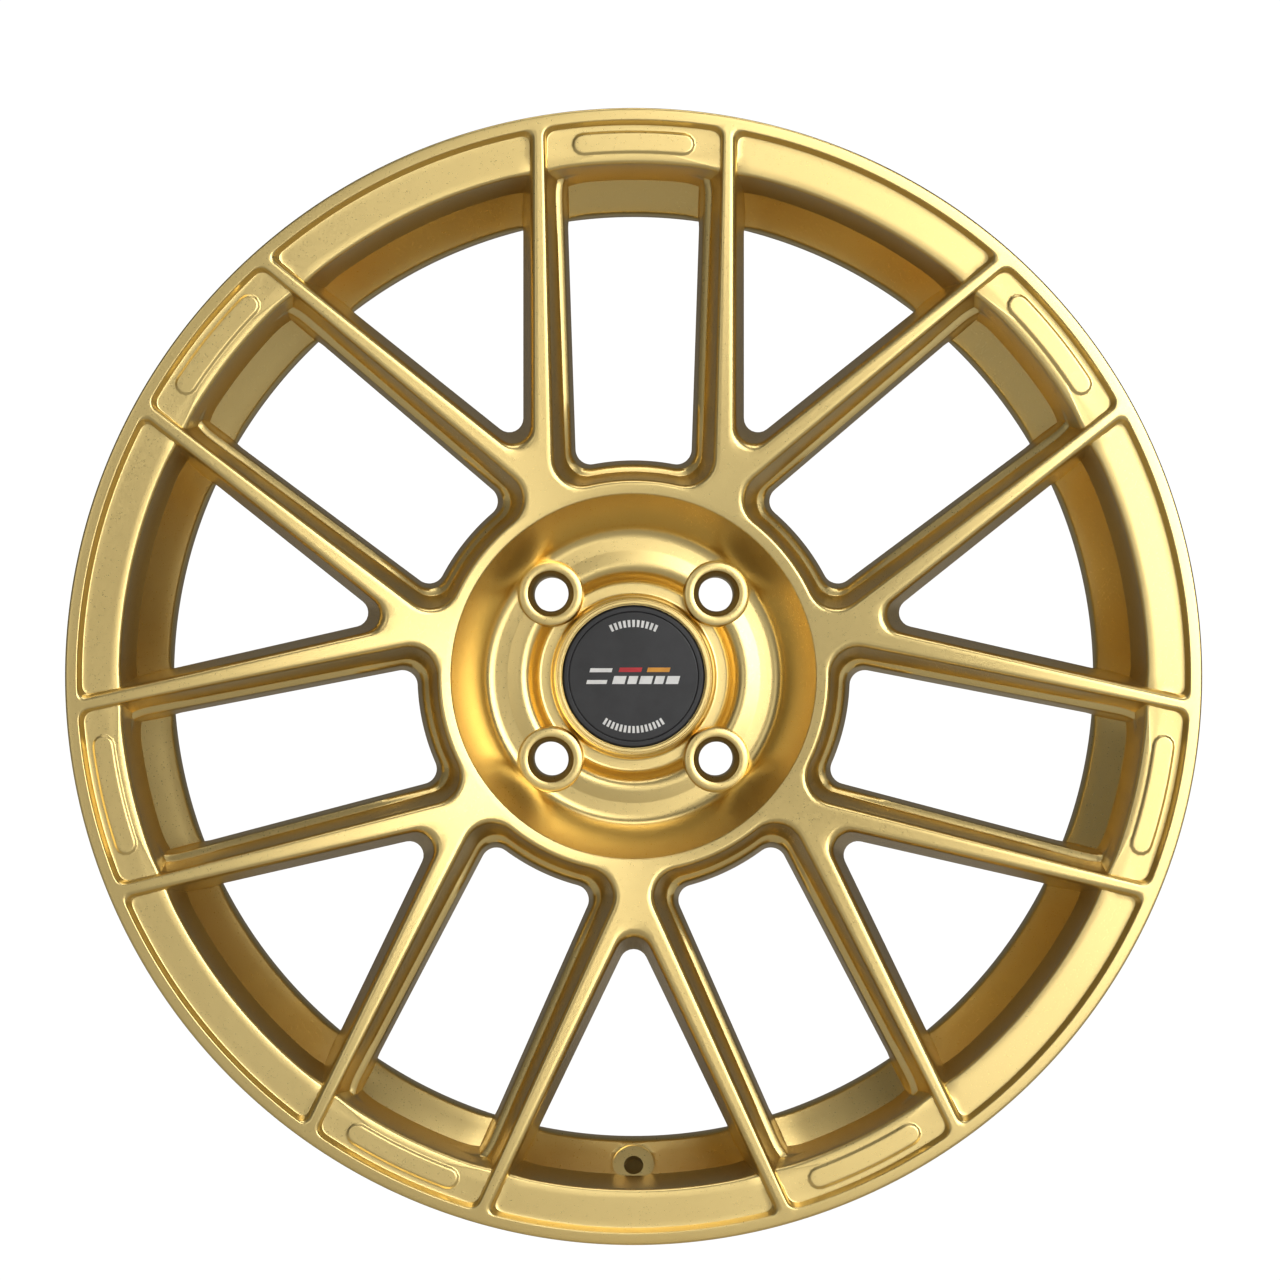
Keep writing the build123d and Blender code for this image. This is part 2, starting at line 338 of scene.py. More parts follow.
@dataclass
class Forging:
    """The one-piece forging: rim, lip, pads, fourteen spokes, hub and its bowl."""

    rim_width: float = 202.8
    flange_radius: float = 235.6
    lip_radius: float = 230.5
    pad_edge: float = 214.6
    face_at_bowl: float = 12.0
    face_curve: float = 1.6
    bowl_circle: float = 78.4
    back_circle: float = 87.0
    back_depth: float = 50.0
    step_depth: float = 24.0
    step_at_hub: float = 30.0
    well_radius: float = 198.3
    pad_leg: float = 4.5
    crease_leg: float = 9.0
    rim_columns: int = 10
    strip_columns: int = 4
    far_columns: int = 14
    pad_rows: int = 6
    spoke_rows: int = 24
    corner_rows: int = 9
    end_rows: int = 7
    tip_rows: int = 4
    web_rows: int = 4
    circle_rows: int = 8
    panel_radius: float = 221.9
    panel_angle: float = radians(5.4)
    hub_steps: int = 112
    barrel_steps: int = 392
    bolt_circle: float = 50.0
    bolts: int = 4
    valve_radius: float = 208.5
    valve_depth: float = 46.4
    valve_tilt: float = radians(28)
    pad_outer: float = 228.0
    pad_depth: float = 3.7
    pad_slope: float = 0.05
    panel_rise: float = 0.68
    wall_depths: tuple[float, ...] = (6.2, 43.6, 45.4, 50.8, 52.6, 57.0)
    wall_radii: tuple[float, ...] = (213.0, 211.5, 210.0, 199.6, 198.3, 198.1)
    # (half width at 110 mm from the axis, growth for each mm outwards): face edge, step, ledge, back
    near_lines: tuple[Flat, ...] = ((35.53, 0.0195), (29.6, 0.036), (26.5, 0.033), (25.17, 0.033))
    near_ends: tuple[float, ...] = (80.5, 86.3, 90.0, 92.8)
    near_corners: tuple[float, ...] = (12.6, 9.5, 7.4, 6.3)
    far_lines: tuple[float, float] = (40.5, 47.2)
    far_tips: tuple[float, float] = (8.5, 6.0)

    # ---- surfaces

    def face(self, radius: float) -> float:
        """Depth of the face at a radius."""
        share = max(0.0, (self.lip_radius - radius) / (self.lip_radius - 76.4))
        return self.face_at_bowl * share**self.face_curve

    def back(self, radius: float) -> float:
        """Depth of the spokes' back at a radius."""
        return self.back_depth + 0.517 * max(0.0, sqrt((98.0 - radius) ** 2 + 30) / 2 + (98.0 - radius) / 2)

    def step(self, radius: float) -> float:
        """Depth of the parallel window's step at a radius."""
        inner = lerp(self.step_at_hub, self.step_depth, ease((radius - 88) / 32))
        return inner - 1.5 * ease((radius - 180) / 30)

    def floor(self, radius: float) -> float:
        """Depth of a pad at a radius."""
        return self.pad_depth + (self.pad_outer - radius) * self.pad_slope

    def rim(self, depth: float) -> float:
        """Inner radius of the rim at a depth, behind the pads."""
        return float(np.interp(depth, self.wall_depths, self.wall_radii))

    # ---- plan of the parallel window

    def near_side(self, across: float, outward: float) -> float:
        """Half width of the parallel window at a place across its wall."""
        low = min(2, int(across))
        first, second = self.near_lines[low], self.near_lines[low + 1]
        widths = [line[0] + line[1] * (outward - 110) for line in (first, second)]
        return lerp(widths[0], widths[1], across - low)

    def meet(self, across: float, radius: float, near: bool) -> Flat:
        """Where a window's side line meets a circle."""
        outward = radius
        for _ in range(6):
            width = self.side(across, outward, near)
            outward = sqrt(radius**2 - width**2)
        return (width, outward)

    def far_side(self, across: float) -> float:
        """Distance of the triangular window's side line from the parallel window's middle."""
        return lerp(self.far_lines[0], self.far_lines[1], across)

    def side(self, across: float, outward: float, near: bool) -> float:
        """Distance of a window's side line from the parallel window's middle."""
        return self.near_side(across, outward) if near else self.far_side(across)

    def rim_part(self, radius: float, across: float, near: bool, leg: float) -> tuple[list[Flat], Flat]:
        """A ring's plan points along the rim, up to the corner's region, and the sharp corner.

        Args:
            radius: the ring's radius.
            across: the ring's place across the spoke's wall.
            near: whether it is the parallel window.
            leg: length of the corner's region.

        Returns:
            The points, from the window's middle, and the corner.
        """
        corner = self.meet(across, radius, near)
        angle = atan2(*corner)
        columns = (self.rim_columns if near else self.far_columns) - 3
        if near:
            angles = [lerp(0, angle - leg / radius, share) for share in even(columns)]
        else:
            angles = [lerp(SECTOR, angle + leg / radius, share) for share in even(columns)]
        return [polar(radius, turn) for turn in angles], corner

    def spoke_part(self, across: float, start: float, leg: float, near: bool) -> list[Flat]:
        """A ring's plan points down the spoke and round the hub's end or the tip.

        Args:
            across: the ring's place across the spoke's wall.
            start: how far out the corner's region ends.
            leg: length of the corner's region, whose 3 rows are left out; not used.
            near: whether it is the parallel window.

        Returns:
            The points, to the window's middle.
        """
        rows = self.spoke_rows - 3
        if near:
            low = min(2, int(across))
            end = lerp(self.near_ends[low], self.near_ends[low + 1], across - low)
            radius = lerp(self.near_corners[low], self.near_corners[low + 1], across - low)
            width = self.near_side(across, 95)
            for _ in range(3):
                centre = (width - radius, sqrt((end + radius) ** 2 - (width - radius) ** 2))
                width = self.near_side(across, centre[1])
            side = [lerp(start, centre[1], share) for share in even(rows)]
            out = [(self.near_side(across, outward), outward) for outward in side]
            sweep = pi - atan2(centre[1], centre[0])
            for share in even(self.corner_rows)[1:]:
                turn = -sweep * share
                out.append((centre[0] + radius * cos(turn), centre[1] + radius * sin(turn)))
            stop = atan2(centre[0], centre[1])
            out[-1] = polar(end, stop)
            return out + [polar(end, stop * (1 - share)) for share in even(self.end_rows)[1:]]
        width = self.far_side(across)
        radius = lerp(self.far_tips[0], self.far_tips[1], across)
        apex = width / sin(SECTOR)
        reach = radius / tan(SECTOR)
        tangent = width / tan(SECTOR) + reach
        centre = polar(apex + radius / sin(SECTOR), SECTOR)
        out = [(width, lerp(start, tangent, share)) for share in even(rows)]
        sweep = pi / 2 - SECTOR
        for share in even(self.tip_rows)[1:]:
            turn = pi + sweep * share
            out.append((centre[0] + radius * cos(turn), centre[1] + radius * sin(turn)))
        return out

    # ---- rings

    def upper_ring(self, lip: Flat, across: float, drop: float, foot: Flat, near: bool) -> list[Point]:
        """A ring above the pad's level.

        Args:
            lip: its radius and depth along the lip.
            across: its place across the spoke's wall.
            drop: its depth below the face, along the spoke.
            foot: how far it stands out over the pad, in places across the wall, and its height over it.
            near: whether it is the parallel window.

        Returns:
            Plan points from the window's middle round to its middle at the hub.
        """
        (radius, depth), (lift, above) = lip, foot
        spread = across + lift
        rim, corner = self.rim_part(radius, spread, near, self.pad_leg)
        leg_end = corner[1] - self.pad_leg
        turn = bend(corner, rim[-1], (self.side(spread, leg_end, near), leg_end), 6, 1.0)
        pad_end = self.meet(across, self.pad_edge, near)
        down = [lerp(leg_end, pad_end[1], share) for share in even(self.pad_rows - 3)]
        fade = (0.0, 0.0, 0.6, 1.0)
        pad = []
        for outward, share in zip(down, fade):
            pad.append((self.side(spread - lift * share, outward, near), outward))
        start = pad_end[1] - self.crease_leg
        region = [lerp(pad_end[1], start, share) for share in even(3)[1:]]
        legs = [(self.side(across, outward, near), outward) for outward in region]
        plan = rim + turn[1:] + pad[1:] + legs + self.spoke_part(across, start, self.crease_leg, near)[1:]
        first = len(rim) - 1
        out = []
        for index, (u, w) in enumerate(plan):
            share = ease((index - first) / 6)
            wall = self.face(hypot(u, w)) + drop
            if lift and index < first + self.pad_rows + 3:
                wall = self.floor(hypot(u, w)) - above
            out.append((u, w, lerp(depth, wall, share)))
        return out

    def edge_place(self, turn: float, near: bool) -> float:
        """Place across the wall on the face's rounded edge, after a turn in degrees."""
        sheer, unit = (2.1, 5.93) if near else (2.3, 6.7)
        return sheer * sin(radians(turn)) / unit

    def upper_rings(self, near: bool) -> list[list[Point]]:
        """The rings from the face's edge to the pad's level."""
        tall = 3.6 if near else 3.8
        lips = ((231.0, 0.0), (230.75, 0.04), (230.5, 0.2), (230.32, 0.5), (230.1, 1.0))
        rings = []
        for (radius, depth), turn in zip(lips, (0, 20, 40, 60, 78)):
            drop = tall * (1 - cos(radians(turn)))
            place = self.edge_place(turn, near)
            rings.append(self.upper_ring((radius, depth), place, drop, (0.0, 0.0), near))
        last = self.edge_place(78, near)
        feet = (
            ((229.1, 3.1), 3.4, (0.01, 0.6)),
            ((228.85, 3.55), 3.9, (0.04, 0.16)),
            ((228.3, self.floor(228.3)), 4.3, (0.11, 0.0)),
        )
        for lip, drop, foot in feet:
            rings.append(self.upper_ring(lip, last + 0.02, drop, foot, near))
        return rings

    def lower_specs(self, near: bool) -> list[Ring]:
        """The rings from the pad's edge down to the spoke's back."""
        wall = self.edge_place(78, near) + 0.02
        pad = (self.pad_edge, self.floor(self.pad_edge), 4.3)
        edge = (pad, (213.9, 4.75, 4.6), (213.25, 5.3, 5.2), (213.0, 6.3, 6.2))
        rings = []
        for index, (radius, depth, drop) in enumerate(edge):
            rings.append(Ring(radius, depth, wall, lambda f, s, b, drop=drop: f + drop, 0.08 * index))
        if near:
            for share in (0.2, 0.5, 0.8):
                down = lambda f, s, b, share=share: lerp(f + 6.2, s - 1.2, share)
                rings.append(Ring(0, 0, lerp(wall, 0.9, share), down, 0.3 + 0.15 * share))
            feet = ((0.92, -1.3), (0.99, -0.35), (1.16, 0.02), (1.45, 0.2), (1.82, 0.9), (2.03, 2.6))
            for place, drop in feet:
                down = lambda f, s, b, drop=drop: s + drop * (1 + 0.6 * ease((s - 25) / 5))
                rings.append(Ring(0, 0, place, down, 0.5))
            for share in (0.25, 0.5, 0.75):
                down = lambda f, s, b, share=share: lerp(s + 2.9, b - 1.3, share)
                rings.append(Ring(0, 0, lerp(2.03, 2.95, share), down, 0.6 - 0.2 * share))
            tails = ((2.95, -1.3), (2.85, -0.4), (2.5, -0.05), (1.9, 0.0))
        else:
            for share in (0.12, 0.3, 0.55, 0.8):
                down = lambda f, s, b, share=share: lerp(f + 6.2, b - 1.3, share)
                rings.append(Ring(0, 0, lerp(wall, 1.0, share), down, 0.3))
            tails = ((1.0, -1.3), (0.97, -0.4), (0.9, -0.05), (0.78, 0.0))
        for place, drop in tails:
            rings.append(Ring(0, 0, place, lambda f, s, b, drop=drop: b + drop, 0.3))
        deep = (48.7, 50.8, 52.6, 56.8)
        for ring, depth in zip(rings[-4:], deep):
            ring.rim_depth = depth
            ring.rim_radius = self.rim(depth)
        for ring in rings:
            if not ring.rim_radius:
                ring.rim_depth = self._deep(ring, 209.0)
                ring.rim_radius = self.rim(ring.rim_depth)
        return rings

    def _deep(self, ring: Ring, radius: float) -> float:
        """The depth of a ring's wall part at a radius."""
        return ring.side_depth(self.face(radius), self.step(radius), self.back(radius))

    def lower_ring(self, ring: Ring, near: bool) -> list[Point]:
        """A ring below the pad's level, as plan points.

        Args:
            ring: the ring.
            near: whether it is the parallel window.

        Returns:
            Plan points from the window's middle round to its middle at the hub.
        """
        rim, corner = self.rim_part(ring.rim_radius, ring.across, near, self.crease_leg)
        leg_end = corner[1] - self.crease_leg
        width = self.side(ring.across, leg_end, near)
        turn = bend(corner, rim[-1], (width, leg_end), 6, ring.roundness)
        plan = rim + turn[1:] + self.spoke_part(ring.across, leg_end, self.crease_leg, near)[1:]
        crease = len(rim) + 2
        fades = {0: 1.0, 1: 0.42, 2: 0.1, 3: 0.0}
        out = []
        for index, (u, w) in enumerate(plan):
            wall = self._deep(ring, hypot(u, w))
            share = 1.0 if index <= crease else fades.get(index - crease, 0.0)
            depth = lerp(wall, ring.rim_depth, share)
            out.append((u, w, depth))
        return out

    # ---- patches of the half sector

    def funnel(self, near: bool) -> tuple[list[list[Point]], list[list[Point]]]:
        """A window's upper and lower rings."""
        upper = self.upper_rings(near)
        lower = [self.lower_ring(ring, near) for ring in self.lower_specs(near)]
        columns = self.rim_columns if near else self.far_columns
        # the spoke's wall below the pad is shared by both
        lower[0][columns:] = upper[-1][columns + self.pad_rows :]
        return upper, lower

    def pad(self, upper: list[list[Point]], lower: list[list[Point]], near: bool) -> list[list[list[Point]]]:
        """The pad's patches: a plain one, or a band and a raised panel.

        Args:
            upper: the window's upper rings.
            lower: the window's lower rings.
            near: whether it is the parallel window, whose pad has a panel.

        Returns:
            Grids of plan points.
        """
        columns = self.rim_columns if near else self.far_columns
        top = upper[-1][: columns + 1]
        side = upper[-1][columns : columns + self.pad_rows + 1]
        bottom = lower[0][: columns + 1]
        if not near:
            left = [between(top[0], bottom[0], share) for share in even(self.pad_rows)]
            rows = coons([p[:2] for p in top], [p[:2] for p in bottom], left, [p[:2] for p in side])
            grid = [[(u, w, self.floor(hypot(u, w))) for u, w in row] for row in rows]
            grid[0], grid[-1] = top, bottom
            for row, point in zip(grid, side):
                row[-1] = point
            return [grid]
        border = top + side[1:] + bottom[::-1][1:]
        band = [border]
        lifts = ((10.4, 0.0), (9.6, 0.0), (9.1, 0.09), (7.7, 0.56), (7.0, 0.66), (6.2, self.panel_rise))
        for height, lift in lifts:
            outline = self.panel_outline(height)
            band.append([(u, w, self.floor(hypot(u, w)) - lift) for u, w in outline])
        inner = [p[:2] for p in band[-1]]
        top_in = inner[: columns + 1]
        right_in = inner[columns : columns + self.pad_rows + 1]
        bottom_in = inner[columns + self.pad_rows :][::-1]
        left_in = [between(top_in[0], bottom_in[0], share) for share in even(self.pad_rows)]
        rows = coons(top_in, bottom_in, left_in, right_in)
        middle = [[(u, w, self.floor(hypot(u, w)) - self.panel_rise) for u, w in row] for row in rows]
        return [band, middle]

    def panel_outline(self, height: float) -> list[Flat]:
        """Half of the raised panel's outline at a height across it."""
        columns = self.rim_columns
        half = height / 2
        top = [polar(self.panel_radius + half, self.panel_angle * share) for share in even(columns)]
        low = [polar(self.panel_radius - half, self.panel_angle * share) for share in even(columns)]
        centre = polar(self.panel_radius, self.panel_angle)
        turns = [pi / 2 - self.panel_angle - pi * share for share in even(self.pad_rows)[1:-1]]
        end = [(centre[0] + half * cos(turn), centre[1] + half * sin(turn)) for turn in turns]
        return top + end + low[::-1]

    def strip(self, near: list[Point], far: list[Point], circle: float, level: Level) -> list[list[Point]]:
        """The surface between a parallel window's edge and a triangular one's, and the hub's circle.

        Args:
            near: the parallel window's edge, from the rim to its middle at the hub.
            far: the triangular window's edge, from the rim to its tip.
            circle: radius of the hub's circle.
            level: depth as a function of the radius.

        Returns:
            Rows across the strip.
        """
        tip = far[-1][:2]
        web = [between(tip, polar(circle, SECTOR), share) for share in even(self.web_rows)[1:]]
        hub = [polar(circle, SECTOR * (1 - share)) for share in even(self.circle_rows)[1:]]
        tail = [(u, w, level(hypot(u, w))) for u, w in web + hub]
        rows = []
        for first, last in zip(near, far + tail):
            row = [first]
            for share in even(self.strip_columns)[1:-1]:
                u, w = between(first[:2], last[:2], share)
                row.append((u, w, level(hypot(u, w))))
            rows.append(row + [last])
        return rows

    def half_sector(self) -> list[Piece]:
        """Every patch from the middle of a parallel window to the middle of the triangular one."""
        near_up, near_low = self.funnel(True)
        far_up, far_low = self.funnel(False)
        grids = [near_up, near_low, far_up, far_low]
        grids += self.pad(near_up, near_low, True) + self.pad(far_up, far_low, False)
        near, far = self.rim_columns, self.far_columns
        face = self.strip(near_up[0][near:], far_up[0][far:], self.bowl_circle, self.face)
        back = self.strip(near_low[-1][near:], far_low[-1][far:], self.back_circle, self.back)
        for index, share in enumerate((1.0, 0.42, 0.1)):
            for column, point in enumerate(back[index][1:-1], start=1):
                depth = lerp(self.back(hypot(*point[:2])), near_low[-1][near][2], share)
                ends = [hypot(*back[index][end][:2]) for end in (0, -1)]
                radius = lerp(*ends, column / self.strip_columns)
                pull = radius / hypot(*point[:2])
                back[index][column] = (point[0] * pull, point[1] * pull, depth)
        grids += [face, back]
        lip = near_up[0][:near] + face[0] + far_up[0][:far][::-1]
        well = near_low[-1][:near] + back[0] + far_low[-1][:far][::-1]
        turns = [SECTOR * share for share in even(len(lip) - 1)]
        middle = [(*polar(232.3, atan2(u, w)), 0.0) for u, w, _ in lip]
        grids.append([lip, middle, [(*polar(233.2, turn), 0.0) for turn in turns]])
        grids.append([well, [(*polar(self.well_radius, turn), 63.0) for turn in turns]])
        return [Mill.draped(f"patch_{index}", grid) for index, grid in enumerate(grids)]

    def barrel(self) -> Piece:
        """The rim from the lip round the tyre's side and back to the drop well."""
        width, flange, bead = self.rim_width, self.flange_radius, 218.3
        seat_end = bead - 20.0 * tan(radians(5.0))
        points = [
            (233.2, 0, 0), (flange, 0, 2.2), (flange, 12.5, 9.5), (bead, 12.5, 6.5), (seat_end, 32.5, 0),
            (seat_end + 1.6, 34.7, 1.2), (seat_end - 0.7, 46.5, 2.5), (201.4, 57.0, 8), (206.2, 92.0, 8),
            (213.2, 120.0, 10), (215.0, 163.0, 3), (seat_end + 1.6, 168.1, 1.2), (seat_end, 170.3, 0),
            (bead, 190.3, 6.5), (flange, 190.3, 9.5), (flange, width, 2.5), (flange - 6.0, width, 4),
            (222.0, width - 7.3, 5), (214.4, width - 14.8, 6), (212.6, 168.3, 6), (209.8, 122.0, 10),
            (202.8, 94.0, 8), (self.well_radius, 63.0, 0),
        ]
        return Mill.spun("barrel", arc_bend(points, 4), self.barrel_steps, closed=False)

    def hub(self) -> Piece:
        """The bowl, the ridge, the collar, the bores and the mounting face."""
        points = [
            (self.bowl_circle, self.face(self.bowl_circle), 0), (76.3, self.face(76.3) + 0.05, 0.9),
            (63.0, 45.5, 18.0), (54.0, 45.2, 5.0), (45.0, 43.8, 7.0),
            (41.0, 52.0, 2.6), (35.0, 52.0, 1.4), (34.2, 43.0, 0.5), (33.9, 41.6, 0.5), (33.0, 41.0, 0.4),
            (32.9, 41.7, 0.2), (32.3, 41.7, 0.2), (32.2, 41.0, 0.2), (30.9, 41.0, 0.4), (30.9, 44.5, 0),
            (28.6, 44.5, 0.3), (28.6, 54.0, 0.3), (33.55, 54.0, 0.3), (33.55, 71.4, 0.6), (70.0, 71.4, 1.2),
            (74.0, 62.4, 3.0), (self.back_circle, self.back(self.back_circle), 0),
        ]
        return Mill.spun("hub", arc_bend(points, 6), self.hub_steps, closed=False)

    def bolt_turns(self) -> list[Matrix]:
        """The turns about the axis that bring the top of the bolt circle to each bolt."""
        return [Matrix.Rotation(2 * pi / self.bolts * (number + 0.5), 4, "Y") for number in range(self.bolts)]

    def bosses(self) -> list[Piece]:
        """The four bolt bosses, with their conical seats and holes."""
        points = [
            (7.5, 47.5), (9.8, 43.3), (10.6, 43.0), (12.6, 43.0), (13.5, 43.4), (14.1, 44.6), (14.3, 47.0),
            (14.3, 56.0), (11.0, 60.0), (11.0, 71.4), (7.5, 71.4),
        ]
        boss = Mill.spun("boss", points, 56)
        outward = Matrix.Translation((0, 0, self.bolt_circle * MM))
        out = [Mill.twin(boss, turn @ outward) for turn in self.bolt_turns()]
        bpy.data.objects.remove(boss, do_unlink=True)
        return out

    def build(self) -> Piece:
        """Make the whole forging as one piece."""
        half = Mill.welded(Mill.joined("half", self.half_sector()))
        mirror = Mill.twin(half, Matrix.Scale(-1, 4, (1, 0, 0)))
        sector = Mill.welded(Mill.joined("sector", [half, mirror]))
        copies = [Mill.twin(sector, Matrix.Rotation(2 * SECTOR * turn, 4, "Y")) for turn in range(1, PAIRS)]
        whole = Mill.joined("wheel_forging", [sector, *copies, self.barrel(), self.hub()])
        Mill.welded(whole)
        along = (pi / 2, 0, 0)
        for turn in self.bolt_turns():
            Mill.clear()
            bpy.ops.mesh.primitive_cylinder_add(vertices=48, radius=10.6 * MM, depth=80 * MM, rotation=along)
            cutter = bpy.context.object
            cutter.location = turn @ Vector((0, Mill.street + 58 * MM, self.bolt_circle * MM))
            Mill.drill(whole, cutter)
        self.valve_hole(whole)
        whole = Mill.joined("wheel_forging", [whole, *self.bosses()])
        return Mill.smooth(whole)

    def valve_hole(self, whole: Piece) -> None:
        """Cut the valve's hole and the spot face round it."""
        outward = Vector((0, cos(self.valve_tilt), -sin(self.valve_tilt)))
        seat = Vector(Mill.place(0, -self.valve_radius, self.valve_depth))
        for radius, near_end, far_end in ((9.0, -7.0, 0.4), (4.15, -6.0, 14.0)):
            middle, length = (near_end + far_end) / 2, far_end - near_end
            Mill.clear()
            bpy.ops.mesh.primitive_cylinder_add(vertices=64, radius=radius * MM, depth=length * MM)
            cutter = bpy.context.object
            cutter.rotation_euler = outward.to_track_quat("Z", "Y").to_euler()
            cutter.location = seat + outward * middle * MM
            Mill.drill(whole, cutter)


# ---------------------------------------------------------------- cap and ring


@dataclass
class Cap:
    """The snap-in cap: a moulded shell, a badge disc and a spring wire."""

    radius: float = 30.5
    face_depth: float = 41.9
    seat_depth: float = 44.5
    badge_radius: float = 27.5
    steps: int = 160
    legs: int = 8

    def shell(self) -> Piece:
        """The moulded disc and its skirt of hooked legs."""
        points = [
            (26.4, 42.5, 0), (27.6, 42.4, 0.2), (27.75, 41.9, 0.15), (28.2, 41.9, 0.1), (29.6, 41.9, 0.5),
            (30.45, 42.9, 0.4), (30.45, 44.45, 0.2), (27.55, 44.45, 0.2), (27.55, 54.6, 0.1),
            (28.25, 54.7, 0.1), (28.25, 56.2, 0.2), (27.4, 57.5, 0.1), (25.8, 57.5, 0.1), (25.8, 45.2, 0.5),
            (1.0, 44.5, 0), (1.0, 42.5, 0),
        ]
        shell = Mill.spun("cap_moulding", arc_bend(points, 3), self.steps)
        for number in range(self.legs):
            Mill.clear()
            bpy.ops.mesh.primitive_cube_add(size=1)
            cutter = bpy.context.object
            turn = Matrix.Rotation(2 * pi / self.legs * number, 4, "Y")
            size = Matrix.Diagonal((5.0 * MM, 13.0 * MM, 10 * MM, 1))
            cutter.data.transform(turn @ Matrix.Translation(Mill.place(0, 27.0, 53.0)) @ size)
            Mill.drill(shell, cutter)
        return Mill.smooth(shell)

    def badge(self) -> Piece:
        """The disc set into the cap's face."""
        points = [(0.2, 41.85), (26.9, 41.85), (27.35, 42.0), (27.45, 42.35), (0.2, 42.4)]
        return Mill.smooth(Mill.spun("badge_disc", points, self.steps))

    def wire(self) -> Piece:
        """The open spring wire inside the legs."""
        Mill.clear()
        bpy.ops.mesh.primitive_circle_add(vertices=12, radius=0.8 * MM, fill_type="NGON")
        piece = bpy.context.object
        piece.name = "spring_wire"
        turn = Matrix.Rotation(pi + radians(7), 4, "Y")
        piece.data.transform(turn @ Matrix.Translation(Mill.place(24.95, 0, 55.4)))
        bpy.ops.object.mode_set(mode="EDIT")
        bpy.ops.mesh.select_all(action="SELECT")
        bpy.ops.mesh.spin(steps=72, angle=radians(346), center=(0, 0, 0), axis=(0, 1, 0))
        bpy.ops.object.mode_set(mode="OBJECT")
        return Mill.smooth(Mill.welded(piece, 0.001))


@dataclass
class CentringRing:
    """The plastic ring between the wheel's bore and the car's hub."""

    radius: float = 33.5
    bore: float = 30.05
    length: float = 12.0

    def build(self, mount: float) -> Piece:
        """Make the ring, ending at the mounting face's depth."""
        front = mount - self.length
        points = [
            (self.bore, front + 0.3, 0), (self.bore + 0.3, front, 0), (self.radius - 0.9, front, 0.3),
            (self.radius, front + 0.9, 0.3), (self.radius, mount - 0.4, 0), (self.radius - 0.4, mount, 0),
            (self.bore + 0.8, mount, 0.2), (self.bore, mount - 0.8, 0.2),
        ]
        return Mill.smooth(Mill.spun("centring_ring", arc_bend(points, 3), 128))


# ---------------------------------------------------------------- finishes


def node_group(name: str, inputs: dict[str, float], outputs: tuple[str, ...]) -> Tree:
    """An empty shader node group.

    Args:
        name: the group's name.
        inputs: number inputs and their defaults, after a Vector input.
        outputs: names of number outputs.

    Returns:
        The group, with its Group Input and Group Output nodes.
    """
    group = bpy.data.node_groups.new(name, "ShaderNodeTree")
    group.interface.new_socket(name="Vector", in_out="INPUT", socket_type="NodeSocketVector")
    for label, value in inputs.items():
        socket = group.interface.new_socket(name=label, in_out="INPUT", socket_type="NodeSocketFloat")
        socket.default_value = value
    for label in outputs:
        group.interface.new_socket(name=label, in_out="OUTPUT", socket_type="NodeSocketFloat")
    group.nodes.new("NodeGroupInput")
    group.nodes.new("NodeGroupOutput")
    return group


def fill(node: Node, values: dict[str, float | tuple[float, ...]]) -> None:
    """Set a node's inputs by name."""
    for label, value in values.items():
        node.inputs[label].default_value = value


def surface_group() -> Tree:
    """The group that gives every finish its fine grain and its broad, faint cloudiness."""
    found = bpy.data.node_groups.get("fine_surface")
    if found:
        return found
    inputs = {"Grain": 900.0, "Cloud": 9.0, "Flecks": 0.5}
    group = node_group("fine_surface", inputs, ("Grain", "Cloud", "Height"))
    start, end = group.nodes["Group Input"], group.nodes["Group Output"]
    noises = {}
    for label, detail in (("Grain", 3.0), ("Cloud", 2.0)):
        noise = group.nodes.new("ShaderNodeTexNoise")
        noise.inputs["Detail"].default_value = detail
        group.links.new(start.outputs["Vector"], noise.inputs["Vector"])
        group.links.new(start.outputs[label], noise.inputs["Scale"])
        group.links.new(noise.outputs["Fac"], end.inputs[label])
        noises[label] = noise
    flecks = group.nodes.new("ShaderNodeTexVoronoi")
    group.links.new(start.outputs["Vector"], flecks.inputs["Vector"])
    group.links.new(start.outputs["Grain"], flecks.inputs["Scale"])
    mix = group.nodes.new("ShaderNodeMix")
    group.links.new(start.outputs["Flecks"], mix.inputs["Factor"])
    group.links.new(noises["Grain"].outputs["Fac"], mix.inputs["A"])
    group.links.new(flecks.outputs["Distance"], mix.inputs["B"])
    group.links.new(mix.outputs["Result"], end.inputs["Height"])
    return group


